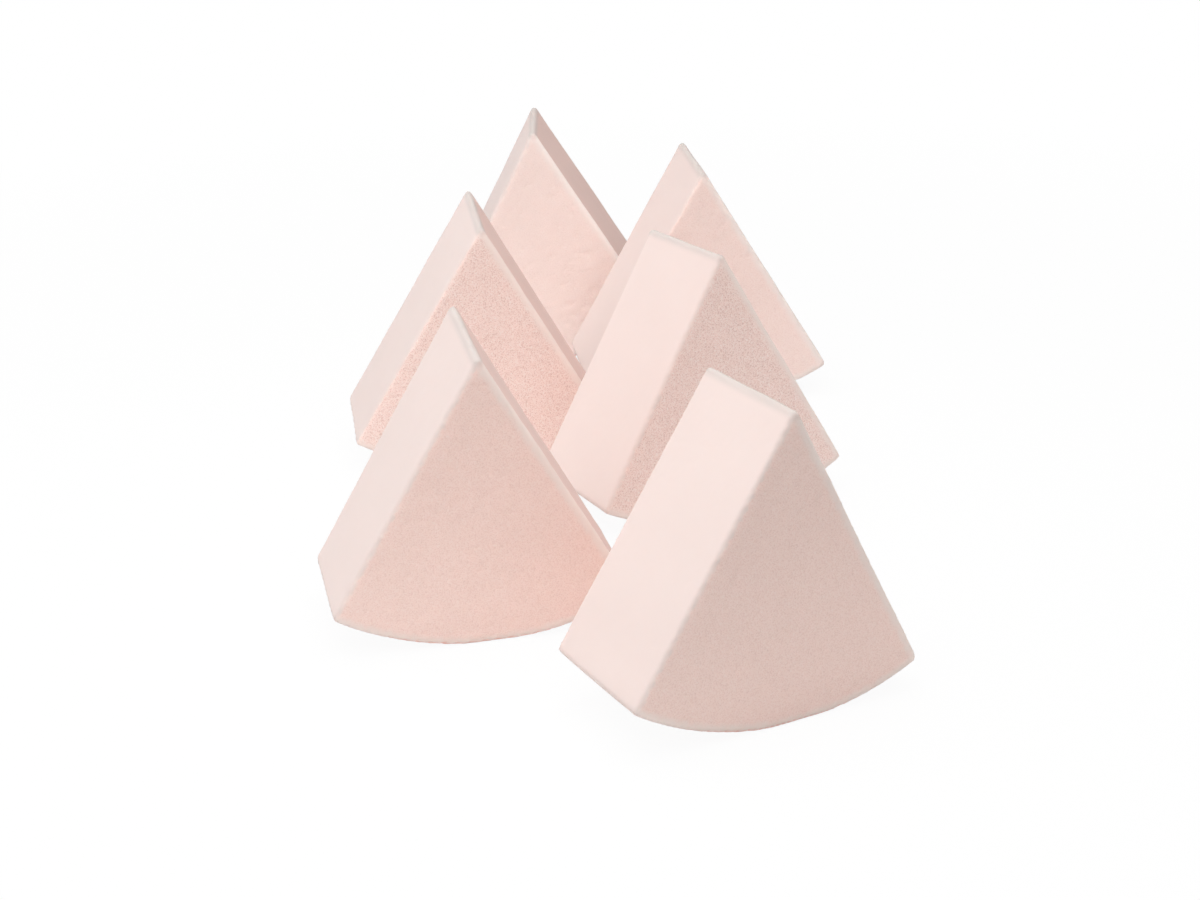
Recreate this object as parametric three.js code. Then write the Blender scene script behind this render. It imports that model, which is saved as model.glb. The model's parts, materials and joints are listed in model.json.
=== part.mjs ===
// A set of loose foam powder puffs. A round pad of foam is cut like a cake into wedges of one angle, and
// each wedge stands on its share of the pad's rim, with the pad's middle as its tip on top.
// Millimetres. +Z is up, the table is at Z = 0 and the viewer looks along +Y.

import * as THREE from "three";

// Driving dimensions of the pad and of the cuts
const PAD_RADIUS = 45;
const PAD_THICKNESS = 23.1;
const PUFFS_IN_PAD = 6;

// The softened edges of a puff: all round both broad faces, then at the tip and the rim corners of a face
const FACE_EDGE_ROUNDING = 0.5;
const FACE_TIP_ROUNDING = 0.1;
const FACE_CORNER_ROUNDING = 0.2;

// Width of the rim that lies flat on the table under the puff's weight
const REST_FLAT_WIDTH = 8;

// How far the tips stand to the right of the middle line
const FRONT_RIGHT_ASIDE = 20.4;
const FRONT_LEFT_ASIDE = -19.1;
const MIDDLE_RIGHT_ASIDE = 14.7;
const MIDDLE_LEFT_ASIDE = -20.5;
const BACK_RIGHT_ASIDE = 18.3;
const BACK_LEFT_ASIDE = -11.3;

// How far each puff stands behind all the puffs in front of it
const FRONT_LEFT_GAP = 16.9;
const MIDDLE_RIGHT_GAP = 7.7;
const MIDDLE_LEFT_GAP = 11.7;
const BACK_RIGHT_GAP = 0.7;
const BACK_LEFT_GAP = 5.6;

// How much taller than the pad's radius each puff was cut, in the middle of its tip
const FRONT_RIGHT_RISE = 0.6;
const FRONT_LEFT_RISE = 0.1;
const MIDDLE_RIGHT_RISE = 0.1;
const MIDDLE_LEFT_RISE = -1;
const BACK_RIGHT_RISE = -0.3;
const BACK_LEFT_RISE = 0.9;

// The puffs from the front one to the back one. Each is turned about the upright, leans about its tip and
// has a tip that slopes, in degrees: a turn is anticlockwise from above, a lean swings the rim left and a
// slope lifts the front end of the tip.
const PLACES = [
  {
    name: "front_right_puff",
    aside: FRONT_RIGHT_ASIDE,
    gap: 0,
    rise: FRONT_RIGHT_RISE,
    turn: 26.8,
    lean: 3.5,
    slope: 1.7,
  },
  {
    name: "front_left_puff",
    aside: FRONT_LEFT_ASIDE,
    gap: FRONT_LEFT_GAP,
    rise: FRONT_LEFT_RISE,
    turn: 11.8,
    lean: 0.8,
    slope: -2.8,
  },
  {
    name: "middle_right_puff",
    aside: MIDDLE_RIGHT_ASIDE,
    gap: MIDDLE_RIGHT_GAP,
    rise: MIDDLE_RIGHT_RISE,
    turn: 27.3,
    lean: -0.7,
    slope: 2.9,
  },
  {
    name: "middle_left_puff",
    aside: MIDDLE_LEFT_ASIDE,
    gap: MIDDLE_LEFT_GAP,
    rise: MIDDLE_LEFT_RISE,
    turn: 7.8,
    lean: 1.3,
    slope: -2.4,
  },
  {
    name: "back_right_puff",
    aside: BACK_RIGHT_ASIDE,
    gap: BACK_RIGHT_GAP,
    rise: BACK_RIGHT_RISE,
    turn: 7.6,
    lean: -0.4,
    slope: -0.7,
  },
  {
    name: "back_left_puff",
    aside: BACK_LEFT_ASIDE,
    gap: BACK_LEFT_GAP,
    rise: BACK_LEFT_RISE,
    turn: 0.2,
    lean: -2.5,
    slope: 0.3,
  },
];

// Fineness of the arcs in the outline and of the rounded face edges
const HALF_ARC_STEPS = 4;
const EDGE_STEPS = 3;

const HALF_ANGLE = Math.PI / PUFFS_IN_PAD;
const TIP_ROUNDING = FACE_EDGE_ROUNDING + FACE_TIP_ROUNDING;
const CORNER_ROUNDING = FACE_EDGE_ROUNDING + FACE_CORNER_ROUNDING;
const HALF_FLAT_ANGLE = Math.asin(REST_FLAT_WIDTH / 2 / PAD_RADIUS);
const TIP_HEIGHT = PAD_RADIUS * Math.cos(HALF_FLAT_ANGLE);

const foam = new THREE.MeshStandardMaterial({ color: 0xf0d2c8, roughness: 0.95, metalness: 0 });

// A point at a distance from the tip, in a direction
function fromTip(distance, angle) {
  return new THREE.Vector2(distance * Math.cos(angle), distance * Math.sin(angle));
}

// The puff seen from the front with its sharp tip at the origin, drawn anticlockwise from the tip.
// The flat lies straight below the tip, so a puff that leans rests on another part of its rim.
function puffOutline(lean) {
  const down = -Math.PI / 2;
  const quarter = Math.PI / 2;
  const middle = down - lean;
  const leftSide = middle - HALF_ANGLE;
  const rightSide = middle + HALF_ANGLE;
  const cornerReach = PAD_RADIUS - CORNER_ROUNDING;
  const cornerAngle = Math.asin(CORNER_ROUNDING / cornerReach);
  const tip = fromTip(TIP_ROUNDING / Math.sin(HALF_ANGLE), middle);
  const leftCorner = fromTip(cornerReach, leftSide + cornerAngle);
  const rightCorner = fromTip(cornerReach, rightSide - cornerAngle);

  const outline = new THREE.Shape();
  outline.absarc(tip.x, tip.y, TIP_ROUNDING, rightSide + quarter, leftSide + 3 * quarter);
  outline.absarc(leftCorner.x, leftCorner.y, CORNER_ROUNDING, leftSide - quarter, leftSide + cornerAngle);
  outline.absarc(0, 0, PAD_RADIUS, leftSide + cornerAngle, down - HALF_FLAT_ANGLE);
  outline.absarc(0, 0, PAD_RADIUS, down + HALF_FLAT_ANGLE, rightSide - cornerAngle);
  outline.absarc(rightCorner.x, rightCorner.y, CORNER_ROUNDING, rightSide - cornerAngle, rightSide + quarter);
  return outline;
}

// A puff on the table at the origin, its broad faces square to Y. Its upright sizes are stretched evenly
// from the table to the tip, so that the tip has its own height and slope.
function puffGeometry(lean, rise, slope) {
  const depth = PAD_THICKNESS - 2 * FACE_EDGE_ROUNDING;
  const geometry = new THREE.ExtrudeGeometry(puffOutline(lean), {
    depth,
    bevelThickness: FACE_EDGE_ROUNDING,
    bevelSize: FACE_EDGE_ROUNDING,
    bevelOffset: -FACE_EDGE_ROUNDING,
    bevelSegments: EDGE_STEPS,
    curveSegments: HALF_ARC_STEPS,
  });
  geometry.translate(0, 0, -depth / 2);
  geometry.rotateX(Math.PI / 2);
  geometry.translate(0, 0, TIP_HEIGHT);

  const points = geometry.getAttribute("position");
  for (let i = 0; i < points.count; i += 1) {
    const tipRise = rise - Math.tan(slope) * points.getY(i);
    points.setZ(i, points.getZ(i) * (1 + tipRise / TIP_HEIGHT));
  }
  geometry.computeVertexNormals();
  return geometry;
}

// Corners of the patch of table under a puff that is turned and leans, with its tip over the point at
function footprint(at, turn, lean) {
  const left = -PAD_RADIUS * Math.sin(HALF_ANGLE + lean);
  const right = PAD_RADIUS * Math.sin(HALF_ANGLE - lean);
  const back = PAD_THICKNESS / 2;
  const corners = [
    new THREE.Vector2(left, -back),
    new THREE.Vector2(right, -back),
    new THREE.Vector2(right, back),
    new THREE.Vector2(left, back),
  ];
  return corners.map((corner) => corner.rotateAround(new THREE.Vector2(), turn).add(at));
}

// The Y of each side of a patch that the line at this X crosses
function crossings(patch, x) {
  return patch.flatMap((from, i) => {
    const to = patch[(i + 1) % patch.length];
    const share = (x - from.x) / (to.x - from.x);
    return share >= 0 && share <= 1 ? [THREE.MathUtils.lerp(from.y, to.y, share)] : [];
  });
}

// How far a patch has to move back along Y until it only touches the patch in front of it
function pushBack(patch, front) {
  const overlaps = [...patch, ...front].map(({ x }) => {
    return Math.max(...crossings(front, x)) - Math.min(...crossings(patch, x));
  });
  return Math.max(...overlaps);
}

const puffs = new THREE.Group();
puffs.name = "powder_puffs";
const patches = [];
for (const place of PLACES) {
  const turn = THREE.MathUtils.degToRad(place.turn);
  const lean = THREE.MathUtils.degToRad(place.lean);
  const slope = THREE.MathUtils.degToRad(place.slope);
  const at = new THREE.Vector2(place.aside, 0);
  const frontPatch = footprint(at, turn, lean);
  at.y = Math.max(0, ...patches.map((patch) => pushBack(frontPatch, patch))) + place.gap;
  patches.push(footprint(at, turn, lean));

  const puff = new THREE.Mesh(puffGeometry(lean, place.rise, slope), foam);
  puff.name = place.name;
  puff.rotation.z = turn;
  puff.position.set(at.x, at.y, 0);
  puffs.add(puff);
}

// The origin is on the table under the middle of the set
const middle = new THREE.Box3().setFromObject(puffs, true).getCenter(new THREE.Vector3());
puffs.position.set(-middle.x, -middle.y, 0);

export default puffs;
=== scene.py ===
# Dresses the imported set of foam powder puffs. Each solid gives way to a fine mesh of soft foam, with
# softened edges, grainy broad faces and smooth, paler cut sides, on a white table under soft light. The cut
# sides' colours hold painted light and shade: the lit left side painted paler, the shaded right side darker
# and pinker.
# Metres, in the frame of the solids: +Z is up, the table is at Z = 0 and the camera looks along +Y and down.
import json
import math

import bmesh
import bpy
import numpy as np
from mathutils import Matrix, Vector, noise


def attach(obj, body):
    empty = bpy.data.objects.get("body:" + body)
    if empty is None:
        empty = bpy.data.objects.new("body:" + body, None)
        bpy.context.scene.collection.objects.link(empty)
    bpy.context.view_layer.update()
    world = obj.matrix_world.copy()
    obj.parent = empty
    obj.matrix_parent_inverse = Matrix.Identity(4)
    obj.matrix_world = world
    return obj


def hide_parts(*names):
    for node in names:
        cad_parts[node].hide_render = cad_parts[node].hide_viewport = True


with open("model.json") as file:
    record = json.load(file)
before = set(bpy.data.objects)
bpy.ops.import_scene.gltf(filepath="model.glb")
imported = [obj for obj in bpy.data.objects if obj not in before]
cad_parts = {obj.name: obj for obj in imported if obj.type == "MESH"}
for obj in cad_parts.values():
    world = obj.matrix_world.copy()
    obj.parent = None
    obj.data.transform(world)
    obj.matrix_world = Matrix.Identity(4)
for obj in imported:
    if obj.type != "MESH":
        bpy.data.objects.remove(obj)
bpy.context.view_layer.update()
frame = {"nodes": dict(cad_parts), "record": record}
scene = bpy.context.scene

# Sizes of the solids
PAD_RADIUS = 0.045
PAD_THICKNESS = 0.0231
HALF_ANGLE = math.radians(30)
REST_FLAT_WIDTH = 0.008
TIP_HEIGHT = math.sqrt(PAD_RADIUS**2 - (REST_FLAT_WIDTH / 2) ** 2)

# How each puff stands: its turn about the upright, its lean about the tip and the slope of its tip, in
# degrees, and how much taller than the pad's radius it was cut
STANCES = {
    "front_right": (26.8, 3.5, 1.7, 0.0006),
    "front_left": (11.8, 0.8, -2.8, 0.0001),
    "middle_right": (27.3, -0.7, 2.9, 0.0001),
    "middle_left": (7.8, 1.3, -2.4, -0.0010),
    "back_right": (7.6, -0.4, -0.7, -0.0003),
    "back_left": (0.2, -2.5, 0.3, 0.0009),
}

# Fineness of the foam's mesh, and how much its edges are softened
VOXEL = 0.0004
SOFTEN_SHARE = 0.5
SOFTEN_STEPS = 3
WELD = 1e-6

# Relief of the foam: height, and width from one swell, cell or pit to the next, the levels of noise where a
# pit starts and is full, and the share of cells and pits that a cut side has
SWELL_HEIGHT, SWELL_WIDTH = 0.00010, 0.009
CELL_HEIGHT, CELL_WIDTH = 0.00006, 0.0009
PIT_DEPTH, PIT_WIDTH = 0.00010, 0.0016
PIT_START, PIT_FULL = 0.25, 0.6
CUT_SIDE_SHARE = 0.15

# Shifts, in widths, that set the noise of the cells and of the pits apart from the rest
CELL_SHIFT = 7.0
PIT_SHIFT = 31.0

# The skin of a broad face: how deep its colour is full and ends, and how much deeper both are at the right
SKIN_FULL, SKIN_END = 0.0001, 0.0003
RIGHT_SKIN = 0.0005

# Where a broad face's own colour starts and is full beside the left side, how much nearer that is on some
# puffs, and the smooth border inside which its grain starts along the right side and the rim
LEFT_START, LEFT_END = 0.0001, 0.0008
NEARER = {"middle_left": 0.0004, "back_right": 0.0004}
BORDER_START, BORDER_END = 0.0005, 0.0017
BORDER_RAGGED = 0.0003

# How far from the tip the ridge's painted shade is full and ends, the width of the change from the left to
# the right side, and the heights over the table where the deep pink painted contact shade under the rim
# starts to fade and is gone
RIDGE_FULL, RIDGE_END = 0.0004, 0.0022
SIDES_CHANGE = 0.0008
# Painted contact shade under the rim fades out between these heights
CONTACT_SHADE_START, CONTACT_SHADE_END = 0.0002, 0.004

# How far the broad faces of the back puffs fade to a paler colour, painted light that brightens them, and
# how strong the grain of the coarse puffs is beside that of the fine ones
PAINTED_LIGHT_SHARES = {"back_right": 0.25, "back_left": 0.4}
COARSENESS = {"middle_right": 1.0, "middle_left": 1.0}
FINE_GRAIN = 0.42

# Colours of the foam: the cut sides, the lit left one painted paler and the shaded right one painted darker
# and pinker, the painted shade on their ridge, the deep pink painted contact shade on the rim near the
# table, the border of a broad face, its pits, flesh and highest cells, its flesh where the grain is fine,
# and the paler colour, painted light, that the back puffs' broad faces fade to
# Painted light and shade: the lit left side is given a paler, greyer colour and the shaded right side a
# darker, pinker one
LIT_LEFT_SIDE_COLOURS = (0.785, 0.655, 0.615, 1), (0.805, 0.675, 0.635, 1)
SHADED_RIGHT_SIDE_COLOURS = (0.755, 0.54, 0.485, 1), (0.775, 0.56, 0.505, 1)
# Painted shade on the tip ridge: a grey that dims the light its rounded crest catches
RIDGE_SHADE_COLOUR = (0.56, 0.505, 0.475, 1)
# Painted contact shade: deep pink on the rim near the table
CONTACT_SHADE_COLOUR = (0.90, 0.38, 0.30, 1)
BORDER_COLOUR = (0.94, 0.80, 0.74, 1)
PIT_COLOUR = (0.74, 0.52, 0.465, 1)
FACE_COLOUR = (0.985, 0.76, 0.695, 1)
CELL_COLOUR = (1.0, 0.87, 0.82, 1)
FINE_COLOUR = (1.0, 0.74, 0.665, 1)
# Painted light: the paler colour that the back puffs' broad faces fade to
PAINTED_LIGHT_COLOUR = (1.0, 0.93, 0.90, 1)

# The noise in these colours: fine cells on the broad faces and a faint mottle on the cut sides, each with
# its count to a metre. Pits, flesh and highest cells have their colours at these levels of the noise.
CELL_NOISE = {"Scale": 4800, "Detail": 2, "Roughness": 0.6}
MOTTLE_NOISE = {"Scale": 140, "Detail": 2}
PIT_LEVEL, FACE_LEVEL, CELL_LEVEL = 0.3, 0.5, 0.7

# How the foam takes light: dull, with a faint sheen, and a little light that sinks in
FOAM_SURFACE = {
    "Roughness": 0.9,
    "Specular IOR Level": 0.15,
    "Sheen Weight": 0.1,
    "Sheen Roughness": 0.5,
    "Subsurface Weight": 0.08,
    "Subsurface Radius": (1.0, 0.5, 0.4),
    "Subsurface Scale": 0.0006,
}

# The finest relief, which only the shading has: its height, and its strength on a cut side and in the grain
BUMP_HEIGHT = 0.0002
SIDE_BUMP, GRAIN_BUMP = 0.05, 0.4

# The table, and how much of it shows as plain white beside its shaded part: a share close to the set, and
# all of it farther off
TABLE_WIDTH = 1.6
TABLE_FRONT, TABLE_BACK = -0.16, 1.0
TABLE_DROP = 0.00005
TABLE_COLOUR = (0.8, 0.8, 0.8, 1)
WHITE = (1, 1, 1, 1)
WHITE_LEVEL = 1.0
WHITE_SHARE = 0.95
SHARE_REACH, WHITE_REACH = 0.12, 0.28

# The light: dim white all round, and soft lamps on the left, right above the set and above its front.
# Each lamp has its place, the length of its sides and its watts.
AROUND_LEVEL = 0.255
LAMPS = {
    "left_lamp": (Vector((-0.3, -0.2, 0.35)), 0.5, 0.46),
    "top_lamp": (Vector((-0.05, 0, 0.3)), 0.4, 0.57),
    "front_lamp": (Vector((0, -0.12, 0.35)), 0.5, 1.12),
}

# The camera, from the fit of the six wedges to the photograph. Lens and sensor are in millimetres.
CAMERA_PLACE = Vector((0.00087, -0.37547, 0.15360))
CAMERA_DOWN = math.radians(21.17)
CAMERA_ROLL = math.radians(-1.51)
CAMERA_LENS = 72.23
CAMERA_SENSOR = 36.0
CAMERA_NEAR = 0.01

# Space from one shader node to the next in the editor
NODE_SPACING = 200


def smooth_step(start, end, value):
    """0 below start, 1 above end and a smooth rise between."""
    share = np.clip((value - start) / (end - start), 0, 1)
    return share * share * (3 - 2 * share)


def noise_at(points, width, shift=0.0):
    """Smooth noise from -1 to 1 at each point, with one swell to a width."""
    scaled = points / width + shift
    return np.array([noise.noise(Vector(point)) for point in scaled])


def puff_measures(points, body):
    """How deep each point is under the broad faces, and its distances from left side, right side and tip."""
    *angles, rise = STANCES[body]
    turn, lean, slope = (math.radians(angle) for angle in angles)
    mounts = {mount["name"]: mount["pos_m"] for mount in frame["record"]["mounts"]}
    from_rest = points - np.array(mounts[body + "_rest"])
    across = from_rest[:, 0] * math.cos(turn) + from_rest[:, 1] * math.sin(turn)
    depth = -from_rest[:, 0] * math.sin(turn) + from_rest[:, 1] * math.cos(turn)
    stretch = 1 + (rise - math.tan(slope) * depth) / TIP_HEIGHT
    below_tip = TIP_HEIGHT - from_rest[:, 2] / stretch
    reach = np.hypot(across, below_tip)
    angle = np.arctan2(across, below_tip) + lean
    from_left = reach * np.sin(HALF_ANGLE + angle)
    from_right = reach * np.sin(HALF_ANGLE - angle)
    return PAD_THICKNESS / 2 - np.abs(depth), from_left, from_right, reach


def surface_shares(points, body):
    """The share of each kind of surface at each point of a puff, with the shares of painted shade on the
    ridge and under the rim and of painted light on the back puffs.
    """
    deep, from_left, from_right, from_tip = puff_measures(points, body)
    from_border = np.minimum(from_right, PAD_RADIUS - from_tip)
    ragged = BORDER_RAGGED * noise_at(points, CELL_WIDTH)
    right = smooth_step(-SIDES_CHANGE, SIDES_CHANGE, from_left - from_right)
    # Painted shade on the ridge near the tip
    ridge = 1 - smooth_step(RIDGE_FULL, RIDGE_END, from_tip)
    # Painted contact shade: the share of deep pink on the rim near the table
    under = 1 - smooth_step(CONTACT_SHADE_START, CONTACT_SHADE_END, points[:, 2])
    broad = 1 - smooth_step(SKIN_FULL, SKIN_END, deep - RIGHT_SKIN * right * (1 - under))
    broad *= smooth_step(LEFT_START, LEFT_END, from_left + ragged + NEARER.get(body, 0.0))
    broad *= 1 - ridge
    grain = broad * smooth_step(BORDER_START, BORDER_END, from_border + ragged)
    shares = {"broad": broad, "grain": grain, "right": right, "ridge": ridge, "under": under}
    # Painted light: how far each puff's broad faces fade to the paler colour
    shares["pale"] = np.full(len(points), PAINTED_LIGHT_SHARES.get(body, 0.0))
    shares["coarse"] = np.full(len(points), COARSENESS.get(body, FINE_GRAIN))
    return shares


def relief_height(points, grain):
    """How far the foam stands out at each point, and in where it is below 0."""
    strength = CUT_SIDE_SHARE + (1 - CUT_SIDE_SHARE) * grain
    height = SWELL_HEIGHT * noise_at(points, SWELL_WIDTH)
    height += strength * CELL_HEIGHT * noise_at(points, CELL_WIDTH, CELL_SHIFT)
    pits = smooth_step(PIT_START, PIT_FULL, noise_at(points, PIT_WIDTH, PIT_SHIFT))
    height -= strength * PIT_DEPTH * pits
    return height


def even_mesh(node, name):
    """The solid as one closed mesh of even, small faces, with softened edges."""
    welded = bmesh.new()
    welded.from_mesh(node.data)
    bmesh.ops.remove_doubles(welded, verts=welded.verts, dist=WELD)
    rough = bpy.data.meshes.new(name + "_rough")
    welded.to_mesh(rough)
    welded.free()
    holder = bpy.data.objects.new(name + "_rough", rough)
    scene.collection.objects.link(holder)
    remesh = holder.modifiers.new("even", "REMESH")
    remesh.mode = "VOXEL"
    remesh.voxel_size = VOXEL
    soften = holder.modifiers.new("soften", "SMOOTH")
    soften.factor = SOFTEN_SHARE
    soften.iterations = SOFTEN_STEPS
    graph = bpy.context.evaluated_depsgraph_get()
    mesh = bpy.data.meshes.new_from_object(holder.evaluated_get(graph))
    mesh.name = name
    bpy.data.objects.remove(holder)
    bpy.data.meshes.remove(rough)
    return mesh


def vertex_values(mesh, name):
    """The three values of this name at each vertex of a mesh."""
    values = np.empty(len(mesh.vertices) * 3, np.float32)
    mesh.vertices.foreach_get(name, values)
    return values.reshape(-1, 3).astype(float)


def make_puff(body):
    """The foam of one puff in place of its solid, with its relief and its shares of each kind of surface."""
    node = body + "_puff"
    mesh = even_mesh(frame["nodes"][node], body + "_foam")
    points = vertex_values(mesh, "co")
    normals = vertex_values(mesh, "normal")
    shares = surface_shares(points, body)
    points += normals * relief_height(points, shares["grain"])[:, None]
    points[:, 2] = np.maximum(points[:, 2], 0)
    mesh.vertices.foreach_set("co", points.astype(np.float32).ravel())
    for name, share in shares.items():
        attribute = mesh.attributes.new(name, "FLOAT", "POINT")
        attribute.data.foreach_set("value", share.astype(np.float32))
    mesh.shade_smooth()
    mesh.update()

    puff = bpy.data.objects.new(body + "_foam", mesh)
    scene.collection.objects.link(puff)
    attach(puff, body)
    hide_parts(node)
    return puff


def empty_tree(owner):
    """The shader tree of a material or a world, without nodes."""
    owner.use_nodes = True
    owner.node_tree.nodes.clear()
    return owner.node_tree


def add_node(tree, kind, values=None, **settings):
    """A shader node with its settings and the values of its inputs, to the right of the nodes before it."""
    node = tree.nodes.new(kind)
    node.location = (NODE_SPACING * len(tree.nodes), 0)
    for name, setting in settings.items():
        setattr(node, name, setting)
    for name, value in (values or {}).items():
        node.inputs[name].default_value = value
    return node


def add_share(tree, name):
    """The share of one kind of surface."""
    return add_node(tree, "ShaderNodeAttribute", attribute_name=name).outputs["Fac"]


def add_ramp(tree, level, stops):
    """A colour for each level, from stops that each have a level and a colour."""
    ramp = add_node(tree, "ShaderNodeValToRGB")
    elements = ramp.color_ramp.elements
    first, *between, last = stops
    elements[0].position, elements[0].color = first
    elements[1].position, elements[1].color = last
    for position, colour in between:
        elements.new(position).color = colour
    tree.links.new(level, ramp.inputs["Fac"])
    return ramp.outputs["Color"]


def add_mix(tree, share, start, end):
    """A colour that goes from start to end with a share. Each is a plain colour or comes from a node."""
    mix = add_node(tree, "ShaderNodeMix", data_type="RGBA")
    tree.links.new(share, mix.inputs["Factor"])
    for socket, colour in (("A", start), ("B", end)):
        if isinstance(colour, tuple):
            mix.inputs[socket].default_value = colour
        else:
            tree.links.new(colour, mix.inputs[socket])
    return mix.outputs["Result"]


def foam_material():
    """Pink foam: the cut sides pale and smooth, with painted light and shade in their colours, painted shade
    on the ridge and under the rim, painted light on the back puffs, and the broad faces pinker with a grain
    of fine cells.
    """
    material = bpy.data.materials.new("pink_foam")
    tree = empty_tree(material)
    link = tree.links.new
    place = add_node(tree, "ShaderNodeTexCoord")
    cells = add_node(tree, "ShaderNodeTexNoise", CELL_NOISE)
    mottle = add_node(tree, "ShaderNodeTexNoise", MOTTLE_NOISE)
    link(place.outputs["Object"], cells.inputs["Vector"])
    link(place.outputs["Object"], mottle.inputs["Vector"])
    grain = add_share(tree, "grain")

    # The two colours of a cut side stand at levels 0 and 1 of the mottle
    left = add_ramp(tree, mottle.outputs["Fac"], enumerate(LIT_LEFT_SIDE_COLOURS))
    right = add_ramp(tree, mottle.outputs["Fac"], enumerate(SHADED_RIGHT_SIDE_COLOURS))
    # The left side's paler colour is painted light, and the right side's darker, pinker colour is painted
    # shade
    sides = add_mix(tree, add_share(tree, "right"), left, right)
    # Painted shade: the grey on the tip ridge
    sides = add_mix(tree, add_share(tree, "ridge"), sides, RIDGE_SHADE_COLOUR)
    # Painted contact shade: deep pink on the rim near the table
    sides = add_mix(tree, add_share(tree, "under"), sides, CONTACT_SHADE_COLOUR)

    stops = [(PIT_LEVEL, PIT_COLOUR), (FACE_LEVEL, FACE_COLOUR), (CELL_LEVEL, CELL_COLOUR)]
    face = add_ramp(tree, cells.outputs["Fac"], stops)
    face = add_mix(tree, add_share(tree, "coarse"), FINE_COLOUR, face)
    face = add_mix(tree, grain, BORDER_COLOUR, face)
    # Painted light: the back puffs' broad faces fade to a paler colour
    face = add_mix(tree, add_share(tree, "pale"), face, PAINTED_LIGHT_COLOUR)
    colour = add_mix(tree, add_share(tree, "broad"), sides, face)

    strength = add_node(tree, "ShaderNodeMapRange", {"To Min": SIDE_BUMP, "To Max": GRAIN_BUMP})
    link(grain, strength.inputs["Value"])
    bump = add_node(tree, "ShaderNodeBump", {"Distance": BUMP_HEIGHT})
    link(strength.outputs["Result"], bump.inputs["Strength"])
    link(cells.outputs["Fac"], bump.inputs["Height"])

    shader = add_node(tree, "ShaderNodeBsdfPrincipled", FOAM_SURFACE)
    link(colour, shader.inputs["Base Color"])
    link(bump.outputs["Normal"], shader.inputs["Normal"])
    out = add_node(tree, "ShaderNodeOutputMaterial")
    link(shader.outputs["BSDF"], out.inputs["Surface"])
    return material


def table_material():
    """White table: nearly even white to the eye, with a soft share of the puffs' shadow."""
    material = bpy.data.materials.new("white_table")
    tree = empty_tree(material)
    link = tree.links.new
    place = add_node(tree, "ShaderNodeTexCoord")
    reach = add_node(tree, "ShaderNodeVectorMath", operation="LENGTH")
    link(place.outputs["Object"], reach.inputs[0])
    limits = {"From Min": SHARE_REACH, "From Max": WHITE_REACH, "To Min": WHITE_SHARE}
    share = add_node(tree, "ShaderNodeMapRange", limits)
    link(reach.outputs["Value"], share.inputs["Value"])
    path = add_node(tree, "ShaderNodeLightPath")
    seen = add_node(tree, "ShaderNodeMath", operation="MULTIPLY")
    link(path.outputs["Is Camera Ray"], seen.inputs[0])
    link(share.outputs["Result"], seen.inputs[1])

    matt = add_node(tree, "ShaderNodeBsdfDiffuse", {"Color": TABLE_COLOUR})
    white = add_node(tree, "ShaderNodeEmission", {"Color": WHITE, "Strength": WHITE_LEVEL})
    mixed = add_node(tree, "ShaderNodeMixShader")
    link(seen.outputs["Value"], mixed.inputs["Fac"])
    link(matt.outputs["BSDF"], mixed.inputs[1])
    link(white.outputs["Emission"], mixed.inputs[2])
    out = add_node(tree, "ShaderNodeOutputMaterial")
    link(mixed.outputs["Shader"], out.inputs["Surface"])
    return material


def make_table():
    """A wide plain table top, just below the puffs' rest flats, with its front edge out of the picture."""
    half = TABLE_WIDTH / 2
    corners = [
        (-half, TABLE_FRONT, -TABLE_DROP),
        (half, TABLE_FRONT, -TABLE_DROP),
        (half, TABLE_BACK, -TABLE_DROP),
        (-half, TABLE_BACK, -TABLE_DROP),
    ]
    mesh = bpy.data.meshes.new("table")
    mesh.from_pydata(corners, [], [(0, 1, 2, 3)])
    mesh.materials.append(table_material())
    table = bpy.data.objects.new("table", mesh)
    scene.collection.objects.link(table)


def make_lamp(name, place, side, watts):
    """A large soft lamp aimed at the middle of the set."""
    lamp = bpy.data.lights.new(name, "AREA")
    lamp.energy = watts
    lamp.size = side
    holder = bpy.data.objects.new(name, lamp)
    holder.location = place
    holder.rotation_euler = (-place).to_track_quat("-Z", "Y").to_euler()
    holder.visible_camera = False
    scene.collection.objects.link(holder)


def make_light():
    """Dim light from all round that shows as white, and the lamps."""
    scene.world = bpy.data.worlds.new("white_room")
    tree = empty_tree(scene.world)
    link = tree.links.new
    path = add_node(tree, "ShaderNodeLightPath")
    seen = path.outputs["Is Camera Ray"]
    for kind in ("Is Glossy Ray", "Is Transmission Ray"):
        either = add_node(tree, "ShaderNodeMath", operation="MAXIMUM")
        link(seen, either.inputs[0])
        link(path.outputs[kind], either.inputs[1])
        seen = either.outputs["Value"]

    around = add_node(tree, "ShaderNodeBackground", {"Color": WHITE, "Strength": AROUND_LEVEL})
    white = add_node(tree, "ShaderNodeBackground", {"Color": WHITE, "Strength": WHITE_LEVEL})
    mixed = add_node(tree, "ShaderNodeMixShader")
    link(seen, mixed.inputs["Fac"])
    link(around.outputs["Background"], mixed.inputs[1])
    link(white.outputs["Background"], mixed.inputs[2])
    out = add_node(tree, "ShaderNodeOutputWorld")
    link(mixed.outputs["Shader"], out.inputs["Surface"])
    for name, lamp in LAMPS.items():
        make_lamp(name, *lamp)


def make_camera():
    """The camera at the photograph's viewpoint."""
    data = bpy.data.cameras.new("camera")
    data.sensor_fit = "HORIZONTAL"
    data.sensor_width = CAMERA_SENSOR
    data.lens = CAMERA_LENS
    data.clip_start = CAMERA_NEAR
    camera = bpy.data.objects.new("camera", data)
    look = Matrix.Rotation(math.pi / 2 - CAMERA_DOWN, 4, "X") @ Matrix.Rotation(CAMERA_ROLL, 4, "Z")
    camera.matrix_world = Matrix.Translation(CAMERA_PLACE) @ look
    scene.collection.objects.link(camera)
    scene.camera = camera


make_camera()
make_light()
make_table()
foam = foam_material()
for body in STANCES:
    make_puff(body).data.materials.append(foam)

scene.view_settings.view_transform = "Standard"
